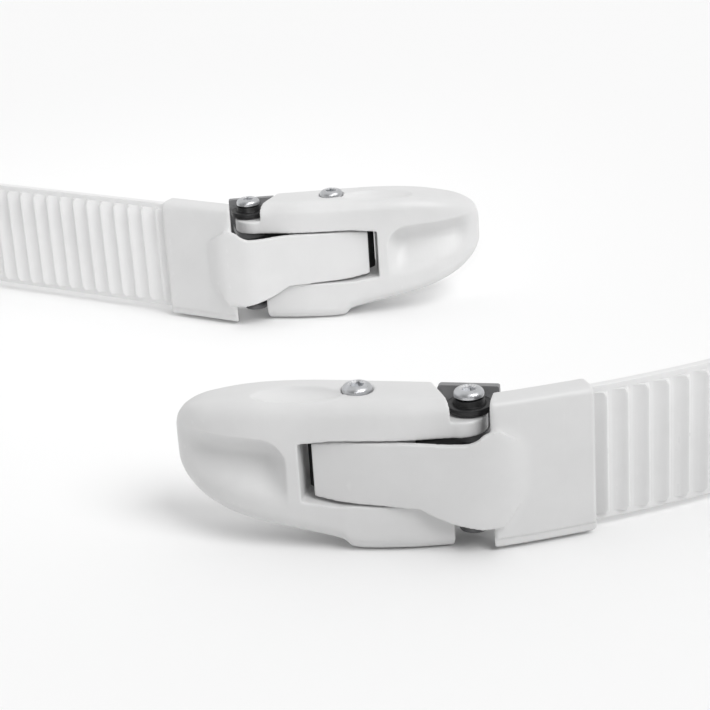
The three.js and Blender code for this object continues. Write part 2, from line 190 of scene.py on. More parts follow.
def block(low, high):
    clear_bench()
    middle = [(a + b) / 2 for a, b in zip(low, high)]
    bpy.ops.mesh.primitive_cube_add(size=1, location=middle)
    bpy.context.object.scale = [b - a for a, b in zip(low, high)]
    return settle(bpy.context.object)


def egg(radii, centre):
    clear_bench()
    bpy.ops.mesh.primitive_uv_sphere_add(segments=96, ring_count=48, radius=1, location=centre)
    bpy.context.object.scale = radii
    return settle(bpy.context.object)


def turned(profile, x=0.0, y=0.0, sides=64):
    """A part from the lathe: its half section as (radius, height), spun about an axis along Z."""
    clear_bench()
    bpy.ops.mesh.primitive_circle_add(vertices=len(profile), radius=1, fill_type="NOTHING")
    part = bpy.context.object
    for vertex, (radius, height) in zip(part.data.vertices, profile):
        vertex.co = (radius, 0, height)
    bpy.ops.object.mode_set(mode="EDIT")
    bpy.ops.mesh.select_all(action="SELECT")
    bpy.ops.mesh.spin(steps=sides, angle=2 * math.pi, center=(0, 0, 0), axis=(0, 0, 1))
    bpy.ops.object.mode_set(mode="OBJECT")
    face_outwards(part)
    part.location = (x, y, 0)
    return settle(part)


def melt(piece, voxel, rounds, keep=1.0):
    """Gives sharp joins the small radii of a moulding."""
    refine(piece, "REMESH", mode="VOXEL", voxel_size=voxel)
    refine(piece, "SMOOTH", factor=0.5, iterations=rounds)
    if keep < 1:
        refine(piece, "DECIMATE", ratio=keep)
    return piece


def ease_edges(piece, width, segments=3, angle=30):
    return refine(piece, "BEVEL", width=width, segments=segments, limit_method="ANGLE",
                  angle_limit=math.radians(angle), use_clamp_overlap=True)


def bevel_edges(piece, width, segments, wanted):
    """Rounds the edges whose middles the test picks out."""
    pick_up(piece)
    bpy.ops.object.mode_set(mode="EDIT")
    bpy.ops.mesh.select_mode(type="EDGE")
    bpy.ops.mesh.select_all(action="DESELECT")
    bpy.ops.object.mode_set(mode="OBJECT")
    places = [vertex.co for vertex in piece.data.vertices]
    for edge in piece.data.edges:
        first, last = edge.vertices
        edge.select = bool(wanted((places[first] + places[last]) / 2))
    bpy.ops.object.mode_set(mode="EDIT")
    bpy.ops.mesh.bevel(offset=width, segments=segments, affect="EDGES")
    bpy.ops.mesh.select_mode(type="VERT")
    bpy.ops.object.mode_set(mode="OBJECT")
    return piece


def near_any(spots, reach):
    return lambda middle: min((middle - spot).length for spot in spots) < reach


def copy_of(piece):
    pick_up(piece)
    bpy.ops.object.duplicate(linked=False)
    return bpy.context.object


def mirrored(piece):
    """The same piece again, on the other side of mid width."""
    twin = copy_of(piece)
    twin.scale = (1, 1, -1)
    settle(twin)
    return face_outwards(twin)


def smooth_line(points, steps):
    """Points along a smooth curve through the given ones."""
    guides = [Vector(point) for point in (points[0], *points, points[-1])]
    spans = len(points) - 1
    line = []
    for step in range(steps + 1):
        place = min(step / steps * spans, spans - 1e-6)
        span = int(place)
        t = place - span
        a, b, c, d = guides[span:span + 4]
        bend = (2 * a - 5 * b + 4 * c - d) * t ** 2 + (3 * b - a - 3 * c + d) * t ** 3
        line.append(tuple(0.5 * (2 * b + (c - a) * t + bend)))
    return line


def rounded(outline, radii, steps=6):
    """The outline with each corner replaced by an arc-like curve of about the given radius."""
    result = []
    for index, corner in enumerate(outline):
        before, after = Vector(outline[index - 1]), Vector(outline[(index + 1) % len(outline)])
        here = Vector(corner)
        start = here + (before - here).normalized() * radii[index]
        end = here + (after - here).normalized() * radii[index]
        for step in range(steps + 1):
            t = step / steps
            result.append(tuple((1 - t) ** 2 * start + 2 * t * (1 - t) * here + t ** 2 * end))
    return result


# ---- finishes ----

def new_group(name, inputs, outputs):
    group = bpy.data.node_groups.new(name, "ShaderNodeTree")
    for label, kind, value in inputs:
        socket = group.interface.new_socket(label, in_out="INPUT", socket_type=kind)
        socket.default_value = value
    for label, kind in outputs:
        group.interface.new_socket(label, in_out="OUTPUT", socket_type=kind)
    return group, group.nodes.new("NodeGroupInput"), group.nodes.new("NodeGroupOutput")


def math_node(tree, operation, first, second=None, third=None):
    node = tree.nodes.new("ShaderNodeMath")
    node.operation = operation
    for socket, value in zip(node.inputs, (first, second, third)):
        if value is None:
            continue
        if isinstance(value, (int, float)):
            socket.default_value = value
        else:
            tree.links.new(value, socket)
    return node.outputs[0]


def noise(tree, vector, scale, detail=3.0, roughness=0.5, stretch=None):
    node = tree.nodes.new("ShaderNodeTexNoise")
    node.inputs["Detail"].default_value = detail
    node.inputs["Roughness"].default_value = roughness
    if isinstance(scale, (int, float)):
        node.inputs["Scale"].default_value = scale
    else:
        tree.links.new(scale, node.inputs["Scale"])
    if stretch:
        mapping = tree.nodes.new("ShaderNodeMapping")
        mapping.inputs["Scale"].default_value = stretch
        tree.links.new(vector, mapping.inputs["Vector"])
        vector = mapping.outputs[0]
    tree.links.new(vector, node.inputs["Vector"])
    return node.outputs["Fac"]


def ramp(tree, value, low, high, out_low=0.0, out_high=1.0):
    node = tree.nodes.new("ShaderNodeMapRange")
    node.inputs["From Min"].default_value = low
    node.inputs["From Max"].default_value = high
    node.inputs["To Min"].default_value = out_low
    node.inputs["To Max"].default_value = out_high
    tree.links.new(value, node.inputs["Value"])
    return node.outputs["Result"]


def moulded_grain():
    """Fine spark-eroded grain with a soft, wider unevenness under it."""
    inputs = [("Vector", "NodeSocketVector", (0, 0, 0)), ("Grains per metre", "NodeSocketFloat", 3000.0),
              ("Waviness", "NodeSocketFloat", 0.3)]
    outputs = [("Height", "NodeSocketFloat"), ("Cloud", "NodeSocketFloat")]
    group, given, made = new_group("moulded_grain", inputs, outputs)
    place = given.outputs["Vector"]
    fine = noise(group, place, given.outputs["Grains per metre"], 2.0, 0.6)
    wide = noise(group, place, 110.0, 2.0, 0.5)
    height = math_node(group, "MULTIPLY_ADD", wide, given.outputs["Waviness"], fine)
    group.links.new(height, made.inputs["Height"])
    group.links.new(noise(group, place, 45.0, 4.0, 0.6), made.inputs["Cloud"])
    return group


def edge_wear():
    """A mask of outer edges, broken up so that it looks rubbed by hand."""
    inputs = [("Vector", "NodeSocketVector", (0, 0, 0)), ("Reach", "NodeSocketFloat", 0.06),
              ("Patchiness", "NodeSocketFloat", 260.0)]
    group, given, made = new_group("edge_wear", inputs, [("Mask", "NodeSocketFloat")])
    point = group.nodes.new("ShaderNodeNewGeometry").outputs["Pointiness"]
    above = math_node(group, "SUBTRACT", point, 0.5)
    edge = math_node(group, "DIVIDE", above, given.outputs["Reach"])
    cloud = noise(group, given.outputs["Vector"], given.outputs["Patchiness"], 5.0, 0.65)
    patches = ramp(group, cloud, 0.35, 0.7)
    mask = math_node(group, "MULTIPLY", edge, patches)
    mask.node.use_clamp = True
    group.links.new(mask, made.inputs["Mask"])
    return group


def scuffs():
    """Thin scratches that run every way."""
    inputs = [("Vector", "NodeSocketVector", (0, 0, 0)), ("Amount", "NodeSocketFloat", 0.5)]
    group, given, made = new_group("scuffs", inputs, [("Mask", "NodeSocketFloat")])
    place = given.outputs["Vector"]
    total = None
    for stretch in ((900, 60, 500), (70, 800, 450), (500, 420, 60)):
        line = ramp(group, noise(group, place, 1.0, 2.0, 0.5, stretch), 0.66, 0.72)
        total = line if total is None else math_node(group, "MAXIMUM", total, line)
    scaled = math_node(group, "MULTIPLY", total, given.outputs["Amount"])
    group.links.new(scaled, made.inputs["Mask"])
    return group


GRAIN, WEAR, SCUFFS = moulded_grain(), edge_wear(), scuffs()


def use(tree, group, vector, **values):
    node = tree.nodes.new("ShaderNodeGroup")
    node.node_tree = group
    tree.links.new(vector, node.inputs["Vector"])
    for label, value in values.items():
        node.inputs[label.replace("_", " ")].default_value = value
    return node


def blend_colour(tree, mask, base, other):
    node = tree.nodes.new("ShaderNodeMix")
    node.data_type = "RGBA"
    for socket, value in ((node.inputs[6], base), (node.inputs[7], other)):
        if isinstance(value, tuple):
            socket.default_value = (*value, 1)
        else:
            tree.links.new(value, socket)
    tree.links.new(mask, node.inputs[0])
    return node.outputs[2]


def grey(level, blue=0.0):
    return level, level, level + blue


def start_finish(name):
    material = bpy.data.materials.new(name)
    material.use_nodes = True
    tree = material.node_tree
    place = tree.nodes.new("ShaderNodeTexCoord").outputs["Object"]
    return material, tree, tree.nodes["Principled BSDF"], place


def emboss(tree, shader, height, strength, depth_mm):
    bump = tree.nodes.new("ShaderNodeBump")
    bump.inputs["Strength"].default_value = strength
    bump.inputs["Distance"].default_value = depth_mm * MM
    tree.links.new(height, bump.inputs["Height"])
    tree.links.new(bump.outputs["Normal"], shader.inputs["Normal"])


def finish_plastic(name, colour, pale, dark, rough, grain, bump_mm, wear_tone, scuff, index):
    """Moulded plastic: clouded colour, grain in the surface, rubbed edges and light scratches."""
    material, tree, shader, place = start_finish(name)
    shader.inputs["IOR"].default_value = index
    skin = use(tree, GRAIN, place, Grains_per_metre=grain)
    cloud = ramp(tree, skin.outputs["Cloud"], 0.35, 0.65)
    darker, paler = [tuple(part * level for part in colour) for level in (dark, pale)]
    tone = blend_colour(tree, cloud, darker, paler)
    worn = use(tree, WEAR, place, Reach=0.09).outputs["Mask"]
    marked = use(tree, SCUFFS, place, Amount=scuff).outputs["Mask"]
    tone = blend_colour(tree, math_node(tree, "MULTIPLY", worn, 0.6), tone, wear_tone)
    tree.links.new(tone, shader.inputs["Base Color"])
    uneven = ramp(tree, skin.outputs["Cloud"], 0.3, 0.7, rough - 0.05, rough + 0.05)
    rubbed = math_node(tree, "MULTIPLY_ADD", worn, -0.12, uneven)
    tree.links.new(math_node(tree, "MULTIPLY_ADD", marked, 0.15, rubbed), shader.inputs["Roughness"])
    emboss(tree, shader, math_node(tree, "MULTIPLY_ADD", marked, -1.5, skin.outputs["Height"]), 0.6, bump_mm)
    return material


def finish_steel(name, colour, tarnish, rough, metallic, wear_tone, scuff, bump_mm=0.004):
    """Plated, painted or drawn steel: blotchy finish, fine scratches and rubbed edges."""
    material, tree, shader, place = start_finish(name)
    shader.inputs["Metallic"].default_value = metallic
    blotch = ramp(tree, noise(tree, place, 420.0, 4.0, 0.6), 0.38, 0.66)
    tone = blend_colour(tree, blotch, colour, tarnish)
    worn = use(tree, WEAR, place, Reach=0.08, Patchiness=700.0).outputs["Mask"]
    tone = blend_colour(tree, worn, tone, wear_tone)
    tree.links.new(tone, shader.inputs["Base Color"])
    marked = use(tree, SCUFFS, place, Amount=scuff).outputs["Mask"]
    uneven = ramp(tree, noise(tree, place, 900.0, 3.0, 0.6), 0.3, 0.7, rough - 0.07, rough + 0.09)
    tree.links.new(math_node(tree, "MULTIPLY_ADD", marked, 0.2, uneven), shader.inputs["Roughness"])
    height = math_node(tree, "MULTIPLY_ADD", marked, -1.0, noise(tree, place, 2600.0, 2.0, 0.5))
    emboss(tree, shader, height, 0.5, bump_mm)
    return material


FINISHES = {
    "white_plastic": finish_plastic(
        "satin_white_plastic", colour=grey(0.70), pale=1.02, dark=0.96, rough=0.42, grain=3200.0,
        bump_mm=0.012, wear_tone=grey(0.74), scuff=0.5, index=1.49),
    "strap_plastic": finish_plastic(
        "flexible_white_plastic", colour=grey(0.78), pale=1.02, dark=0.97, rough=0.36, grain=2400.0,
        bump_mm=0.009, wear_tone=grey(0.84), scuff=0.6, index=1.46),
    "black_plastic": finish_plastic(
        "satin_black_plastic", colour=grey(0.008, 0.0005), pale=1.2, dark=0.8, rough=0.45, grain=3200.0,
        bump_mm=0.014, wear_tone=grey(0.04, 0.002), scuff=0.7, index=1.5),
    "plated_steel": finish_steel(
        "zinc_plated_steel", colour=(0.62, 0.63, 0.65), tarnish=(0.48, 0.49, 0.5), rough=0.34, metallic=1.0,
        wear_tone=grey(0.8, 0.01), scuff=0.7),
    "painted_steel": finish_steel(
        "dark_painted_steel", colour=grey(0.2, 0.005), tarnish=grey(0.16, 0.005), rough=0.42, metallic=0.0,
        wear_tone=grey(0.22, 0.005), scuff=0.02, bump_mm=0.002),
    "spring_steel": finish_steel(
        "drawn_spring_steel", colour=(0.4, 0.41, 0.42), tarnish=grey(0.3, 0.01), rough=0.3, metallic=1.0,
        wear_tone=grey(0.6, 0.01), scuff=0.5),
}


# ---- putting a finished piece in its place ----

def buckle_place(side):
    """Turns the buckle's own millimetres into the frame's metres. The left buckle is handed."""
    hand = JOINTS[f"{side}_lever_swing"]["axis"][2]
    back = MOUNTS[f"{side}_base_back"]["axis"]
    turn = Matrix.Rotation(math.atan2(-back[0], back[1]), 4, "Z")
    pivot = Matrix.Translation(JOINTS[f"{side}_lever_swing"]["pos_m"])
    return pivot @ turn @ Matrix.Diagonal((hand * MM, MM, MM, 1))


PLACES = {side: buckle_place(side) for side in SIDES}


def deliver(piece, side, name, body, slot_name, smooth_angle=None):
    """Names, places, finishes and mounts one piece of a buckle."""
    pick_up(piece)
    piece.name = piece.data.name = f"{side}_{name}_finished"
    piece.data.transform(PLACES[side])
    if PLACES[side].determinant() < 0:
        bpy.ops.object.mode_set(mode="EDIT")
        bpy.ops.mesh.select_all(action="SELECT")
        bpy.ops.mesh.flip_normals()
        bpy.ops.object.mode_set(mode="OBJECT")
    if smooth_angle is None:
        bpy.ops.object.shade_smooth()
    else:
        bpy.ops.object.shade_smooth_by_angle(angle=math.radians(smooth_angle))
    piece.data.materials.clear()
    piece.data.materials.append(FINISHES[slot_name])
    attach(piece, "bases" if body == "bases" else f"{side}_{body}")
    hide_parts(f"{side}_{name}")
    clear_bench()


def for_both(make, name, body, slot_name, smooth_angle=None):
    """A piece that is alike on both buckles is modelled once and copied."""
    first = make()
    second = copy_of(first)
    deliver(first, "right", name, body, slot_name, smooth_angle=smooth_angle)
    deliver(second, "left", name, body, slot_name, smooth_angle=smooth_angle)


# ---- lever ----
# Each station gives the distance from the base pivot towards the tip, the outer face, and how much narrower
# the lever is there than its arms, below and above.
LEVER_STATIONS = [
    (-4, -6.0, 0, 0), (3, -6.6, 0, 0), (12, -8.6, 0, 0), (22.5, -9.5, 0, 0), (25.5, -9.7, 1.9, 0),
    (33, -9.9, 3.6, 0.1), (40, -9.9, 4.9, 0.5), (46, -9.3, 6.2, 1.2), (51, -8.1, 7.8, 2.2),
    (55, -6.3, 9.6, 3.3), (58, -4.0, 11.6, 4.8), (60, -1.4, 13.8, 6.6), (LEVER_REACH, 1.0, 15.6, 9.0),
]
LEVER_RINGS, CORNER_STEPS = 46, 8


def lever_ring(distance, outer, drop_below, drop_above):
    """The lever's section: a box with softer corners outside than on the boot side."""
    depth = LEVER_BACK - outer
    low, high = -ARM_BELOW + drop_below, ARM_ABOVE - drop_above
    outer_r = min(3.4, depth * 0.42, -low * 0.8)
    lower_r = min(3.6, depth * 0.4, -low * 0.8)
    back_r = min(1.8, depth * 0.3, -low * 0.6)
    corners = [
        (LEVER_BACK - back_r, high - back_r, back_r), (outer + outer_r, high - outer_r, outer_r),
        (outer + lower_r, low + lower_r, lower_r), (LEVER_BACK - back_r, low + back_r, back_r),
    ]
    ring = []
    for quarter, (y, z, radius) in enumerate(corners):
        for step in range(CORNER_STEPS + 1):
            turn = (quarter + step / CORNER_STEPS) * math.pi / 2
            ring.append(Vector((-distance, y + radius * math.cos(turn), z + radius * math.sin(turn))))
    return ring


def lever_blank():
    """The lever's end face, extruded from station to station and fitted to each section."""
    rings = [lever_ring(*station) for station in smooth_line(LEVER_STATIONS, LEVER_RINGS)]
    clear_bench()
    bpy.ops.mesh.primitive_circle_add(vertices=len(rings[0]), radius=1, fill_type="NGON")
    blank = bpy.context.object
    for vertex, place in zip(blank.data.vertices, rings[0]):
        vertex.co = place
    for before, ring in zip(rings, rings[1:]):
        extrude_ring((-0.01, 0, 0))
        fresh = [vertex for vertex in blank.data.vertices if vertex.select]
        for vertex in fresh:
            near = min(range(len(before)), key=lambda spot: (vertex.co - before[spot]).length)
            vertex.co = ring[near]
    return face_outwards(blank)


def make_lever():
    """The fork: lugs round the pivot, the tongue's slot, screw seats, a dimple and a thumb hollow."""
    lever = lever_blank()
    cut(lever, block((LUG_X, -BEYOND, -BEYOND), (BEYOND, BEYOND, BEYOND)))
    fuse(lever, rod(LUG_R, -LUG_OUTER, LUG_OUTER, LUG_X, LUG_Y, 96))
    notch = washer_notch()
    cut(lever, tongue_slot(), mirrored(notch), notch)
    cut(lever, arm_corner(-ARM_BELOW, 1, 2.5), arm_corner(ARM_ABOVE, -1, 1.6))
    cut(lever, rod(PIVOT_BORE_R, -DRILL, DRILL), rod(PIVOT_BORE_R, -DRILL, DRILL, LINK_X, LINK_Y))
    cut(lever, rod(HEAD_BORE_R, -DRILL, HEAD_SEAT, LINK_X, LINK_Y))
    cut(lever, rod(HEAD_BORE_R, LINK_SEAT, DRILL, LINK_X, LINK_Y))
    dimple = egg((10.5, 4.0, 2.4), (-34.5, -4.2, ARM_ABOVE + 0.5))
    back_pocket = block((-54, 0.2, -5), (SLOT_WALL - 3, LEVER_BACK + 1, 7))
    cut(lever, dimple, back_pocket)
    refine(lever, "REMESH", mode="VOXEL", voxel_size=0.3)
    press_scoop(lever)
    refine(lever, "SMOOTH", factor=0.5, iterations=3)
    return refine(lever, "DECIMATE", ratio=0.6)


def tongue_slot():
    half = TONGUE_HALF + RUNNING_GAP + 0.1
    upper = [(SLOT_WALL, half), (SLOT_WALL + SLOT_FLARE, ARM_INNER), (10, ARM_INNER)]
    lower = [(x, -z) for x, z in upper]
    return slab(lower + upper[::-1], -BEYOND, BEYOND, "Y")


def washer_notch():
    """The waste that makes room for the washers and the pivot screw beside the upper lug."""
    notch = block((0, -BEYOND, LUG_OUTER), (BEYOND, BEYOND, BEYOND))
    notch.location = (-WIDE_WASHER_R - 0.8, 0, 0)
    settle(notch)
    notch.rotation_euler = (0, 0, math.radians(28))
    return settle(notch)


def arm_corner(edge, inward, radius):
    """The waste outside one rounded corner at the end of an arm."""
    end, spare = LUG_X - 0.1, 0.6
    arc = []
    for step in range(CORNER_STEPS + 1):
        turn = math.pi / 2 * step / CORNER_STEPS
        arc.append((end - radius + radius * math.sin(turn), edge + inward * radius * (1 - math.cos(turn))))
    outside = [(end + spare, edge + inward * radius), (end + spare, edge - inward * spare),
               (end - radius, edge - inward * spare)]
    return slab(arc + outside, -BEYOND, 0, "Y")


def smooth_step(low, high, value):
    """Rises from 0 at low to 1 at high, level at both ends."""
    t = max(0.0, min(1.0, (value - low) / (high - low)))
    return t * t * (3 - 2 * t)


SCOOP_END, SCOOP_TOP, SCOOP_CORNER, SCOOP_DEPTH, SCOOP_SLOPE = -35.6, 6.9, 5.2, 5.8, 5.6


def scoop_depth(x, z):
    """How deep the thumb hollow is: creased along its top and inner end, and run out below and at the tip."""
    along = SCOOP_END - x
    top = SCOOP_TOP + 0.03 * along
    down = top - z
    if along <= 0 or down <= 0:
        return 0.0
    if along < SCOOP_CORNER and down < SCOOP_CORNER:
        inside = SCOOP_CORNER - math.hypot(SCOOP_CORNER - along, SCOOP_CORNER - down)
    else:
        inside = min(along, down)
    slope = 1 - (1 - min(1.0, max(0.0, inside) / SCOOP_SLOPE)) ** 2
    bottom = -8.4 + 0.27 * along
    fade = (1 - smooth_step(0.3, 1.0, down / (top - bottom))) * (1 - smooth_step(18.0, 24.6, along))
    return SCOOP_DEPTH * slope * fade * (1 - 0.024 * along)


def press_scoop(lever):
    """Presses the thumb hollow into the outer face."""
    outer = [vertex for vertex in lever.data.vertices if vertex.normal.y < -0.25 and vertex.co.y < 0]
    for vertex in outer:
        vertex.co.y += scoop_depth(vertex.co.x, vertex.co.z)


# ---- hinge hardware ----

def dome_profile(seat, rim=0.5, edge=0.12, flat=0.52, steps=10):
    """Half the section of a button head, from its seat round to its flat top."""
    dome = []
    for step in range(steps + 1):
        turn = math.pi / 2 * step / steps
        radius = HEAD_R * (flat + (1 - flat) * math.cos(turn))
        dome.append((radius, seat + rim + (HEAD_HEIGHT - rim) * math.sin(turn)))
    return [(HEAD_R - edge, seat), (HEAD_R, seat + edge), *dome]


def make_screw(seat, x=0.0, y=0.0):
    """Button head with a hexagon socket, on a plain shank with a chamfered end."""
    low, top = seat - SHANK_LENGTH, seat + HEAD_HEIGHT
    shank_r, chamfer = 1.1, 0.35
    shank = [(0, low), (shank_r - chamfer, low), (shank_r, low + chamfer), (shank_r, seat)]
    screw = turned([*shank, *dome_profile(seat), (0, top)], x, y)
    socket = rod(SOCKET_R, seat + 0.5, seat + 3, x, y, sides=6)
    sink, over = seat + 1.25, top + 0.05
    lead_in = turned([(0, sink), (SOCKET_R * 0.86, sink), (SOCKET_R * 1.22, over), (0, over)], x, y, 48)
    return cut(screw, socket, lead_in)


def make_barrel(low, top, x=0.0, y=0.0):
    """Barrel nut: a flat head with a radiused rim, a long tube and a countersunk bore."""
    head_top, bore_low, bore_r = low + HEAD_HEIGHT, top - SHANK_LENGTH - 1, 1.4
    head = [(0, low), (HEAD_R - 0.45, low), (HEAD_R - 0.13, low + 0.12), (HEAD_R, low + 0.42),
            (HEAD_R, head_top - 0.12), (HEAD_R - 0.12, head_top)]
    tube = [(BARREL_R, head_top), (BARREL_R, top - 0.2), (BARREL_R - 0.2, top)]
    bore = [(bore_r + 0.15, top), (bore_r, top - 0.25), (bore_r, bore_low), (0, bore_low)]
    return turned(head + tube + bore, x, y)


def make_washers():
    """A wide washer with a smaller one sunk into it, both with rounded rims."""
    hole, wide, small = BARREL_R + 0.2, WIDE_WASHER_R, SMALL_WASHER_R
    low, step, top = WASHER_SEAT, WASHER_SEAT + WIDE_WASHER_HEIGHT, WASHER_TOP
    lower_rim = [(hole, low), (wide - 0.3, low), (wide - 0.08, low + 0.1), (wide, low + 0.35)]
    upper_rim = [(wide, step - 0.35), (wide - 0.1, step - 0.1), (wide - 0.35, step)]
    groove = [(small + 0.25, step), (small + 0.1, step - 0.12), (small, step)]
    small_rim = [(small, top - 0.25), (small - 0.08, top - 0.07), (small - 0.28, top)]
    bore = [(hole + 0.15, top), (hole, top - 0.15), (hole, low)]
    return turned(lower_rim + upper_rim + groove + small_rim + bore, sides=72)


def make_lower_washers():
    upper = make_washers()
    lower = mirrored(upper)
    bpy.data.objects.remove(upper)
    return lower


def rivet_hole(place, heading):
    """A drill through a plate or strap that faces the boot, turned with the strap's heading."""
    hole = rod(MOUNT_HOLE_R, -5, 5)
    hole.rotation_euler = (math.pi / 2, 0, heading)
    hole.location = place
    return settle(hole)


def make_base_plate():
    """Pressed plate: a back with a rivet hole and two ears round the pivot."""
    lower = [(-30, -10), (-8, -11), (-7, -13.4), (5.2, -13.4)]
    outline = lower + [(x, -z) for x, z in reversed(lower)]
    corner_radii = [3, 0.8, 0.6, 0.5, 0.5, 0.6, 0.8, 3]
    back = slab(rounded(outline, corner_radii), PLATE_NEAR, PLATE_FAR, "Y")
    turns = [math.pi * (1 + step / 24) for step in range(25)]
    arc = [(EAR_R * math.cos(turn), EAR_R * math.sin(turn)) for turn in turns]
    root_half, root = EAR_R + 1, PLATE_FAR - 0.2
    upper = slab([*arc, (root_half, root), (-root_half, root)], EAR_INNER, EAR_INNER + EAR_THICKNESS)
    fuse(back, mirrored(upper), upper)
    cut(back, rod(PIVOT_BORE_R, -DRILL, DRILL), rivet_hole((-19, PLATE_NEAR, 0), 0))
    return ease_edges(back, 0.25)


# ---- strap and sleeve line ----

def route(side):
    """The line of the sleeve's outer face: distance along it and depth below it give a place in XY."""
    start_y, start, bend = SIDES[side].values()

    def place(distance, inward=0.0):
        bent = min(distance, BEND_END)
        turn = start + bend * bent
        x = SLEEVE_START + ((math.sin(turn) - math.sin(start)) / bend if bend else bent * math.cos(start))
        y = start_y + ((math.cos(start) - math.cos(turn)) / bend if bend else bent * math.sin(start))
        x += (distance - bent) * math.cos(turn)
        y += (distance - bent) * math.sin(turn)
        return x - inward * math.sin(turn), y + inward * math.cos(turn)

    return place


def band(side, start, end, outer, inner, steps):
    """The outline of a strip that follows the route between two depths."""
    at = route(side)
    stations = [start + (end - start) * step / steps for step in range(steps + 1)]
    return [at(s, outer) for s in stations] + [at(s, inner) for s in reversed(stations)]


def make_strap(side):
    """A flat web with ladder teeth between plain borders, and a plain end with a rivet hole."""
    low, high = STRAP_MIDDLE - STRAP_WIDTH / 2, STRAP_MIDDLE + STRAP_WIDTH / 2
    web = slab(band(side, STRAP_START, STRAP_END, STRAP_ROOT, STRAP_BACK, 60), low, high)
    heading = SIDES[side]["heading"] + SIDES[side]["bend"] * BEND_END
    pad_middle = route(side)(STRAP_END - PAD_LENGTH / 2, STRAP_BACK)
    cut(web, rivet_hole((*pad_middle, STRAP_MIDDLE), heading))
    ease_edges(web, 0.35)
    low, high = low + STRAP_BORDER, high - STRAP_BORDER
    return gather(web, *(strap_tooth(side, number, low, high) for number in range(TOOTH_COUNT)))


def strap_tooth(side, number, low, high):
    """One ladder tooth: it climbs slowly from its foot and drops steeply, with rounded ends."""
    at = route(side)
    foot = STRAP_START + number * TOOTH_PITCH
    crest, root, rooted = STRAP_FRONT, STRAP_ROOT, STRAP_ROOT + 0.5
    start, ramp_end, steps = 0.25, TOOTH_PITCH - 1.25, 8
    climb = []
    for step in range(steps + 1):
        t = step / steps
        climb.append((start + (ramp_end - start) * t, root + 0.06 - (TOOTH_HEIGHT - 0.04) * t ** 1.7))
    drop = [(0.3, crest), (0.55, crest + 0.12), (0.75, crest + 0.42), (0.95, root + 0.1), (0.97, rooted)]
    profile = [(start, rooted), *climb, *((ramp_end + along, depth) for along, depth in drop)]
    tooth = slab([at(foot + along, depth) for along, depth in profile], low, high)
    ends = [Vector((*at(foot + ramp_end + 0.5, crest), z)) for z in (low, high)]
    bevel_edges(tooth, 1.1, 6, near_any(ends, 0.65))
    return ease_edges(tooth, 0.25, 3, 50)


# ---- receiver ----

def hood_line(side):
    """The cover's outer face in XY, from the tongue's end over the hood and into the sleeve."""
    start_y = SIDES[side]["start_y"]
    tongue = [(TONGUE_END, -7.9), (-25, -8.7), (-17, -9.4), (-8, -9.9)]
    hood = [(0, start_y - 2.6), (SLEEVE_START - 1, start_y - 1.5), (SLEEVE_START + 3, start_y + 0.3)]
    return smooth_line([*tongue, *hood, route(side)(8, 0.4)], 48)


def cover_outline():
    """The cover's edge in XZ: a tongue, a hood that widens past the arms, and an end inside the sleeve."""
    tongue = [(TONGUE_END, TONGUE_HALF - 0.4), (TONGUE_END + 0.4, TONGUE_HALF), (-25, 6.45),
              (-9, ARM_INNER - 0.2)]
    rise = smooth_line([(-9, 6.9), (-6.5, ARM_INNER - 0.3), (0, ARM_INNER - 0.5), (2.4, ARM_INNER + 0.1),
                        (3.8, ARM_INNER + 1.2), (5.4, ARM_INNER + 1.9)], 20)[1:]
    drop = smooth_line([(-9, -6.9), (-6, -8.6), (-2, -10.3), (3, -HOOD_HALF)], 16)[1:]
    inside = [(1, ARM_INNER + 1.9), (5, 6), (9, 4), (9, -4), (5, -6), (1, -HOOD_HALF)]
    inside = [(SLEEVE_START + x, z) for x, z in inside]
    below = [(x, -z) for x, z in tongue] + drop
    return tongue + rise + inside + below[::-1]


def make_cover(side):
    """Outer cover: a tongue in the lever's slot that widens into a hood and a sleeve for the strap."""
    outer = hood_line(side)
    inner = [(x, y + COVER_WALL) for x, y in reversed(outer)]
    skin = slab(outer + inner, -BEYOND, BEYOND)
    trim(skin, slab(cover_outline(), -BEYOND, BEYOND, "Y"))
    inside = STRAP_WIDTH / 2 + RUNNING_GAP
    shell = sleeve_shell(side, inside + SLEEVE_EDGE)
    fuse(shell, skin)
    passage = slab(band(side, -2, SLEEVE_LENGTH + 1, SLEEVE_WALL, SLEEVE_DEPTH - SLEEVE_WALL, 16),
                   STRAP_MIDDLE - inside, STRAP_MIDDLE + inside)
    start_y, room_half = SIDES[side]["start_y"], PAWL_HALF + RUNNING_GAP
    room = [(2, 4), (2, -1), (5, -0.9), (7.7, -0.2), (7.7, 4)]
    pawl_room = slab([(x, start_y + y) for x, y in room], -room_half, room_half)
    cut(shell, passage, pawl_room)
    cheek = cover_cheek(outer)
    gather(shell, cheek, mirrored(cheek))
    melt(shell, 0.25, 2)
    blend_hood(shell)
    return refine(shell, "DECIMATE", ratio=0.5)


def blend_hood(cover):
    """Rubs the hood's ridge down until it runs into the sleeve without a step."""
    group = cover.vertex_groups.new(name="hood_blend")
    for vertex in cover.data.vertices:
        x, _, z = vertex.co
        into_sleeve = min((x - 3.5) / 3, (21 - x) / 3, (14.2 - abs(z)) / 2)
        if vertex.normal.y < -0.2 and into_sleeve > 0:
            group.add([vertex.index], min(1, into_sleeve), "REPLACE")
    refine(cover, "SMOOTH", factor=0.8, iterations=90, vertex_group="hood_blend")


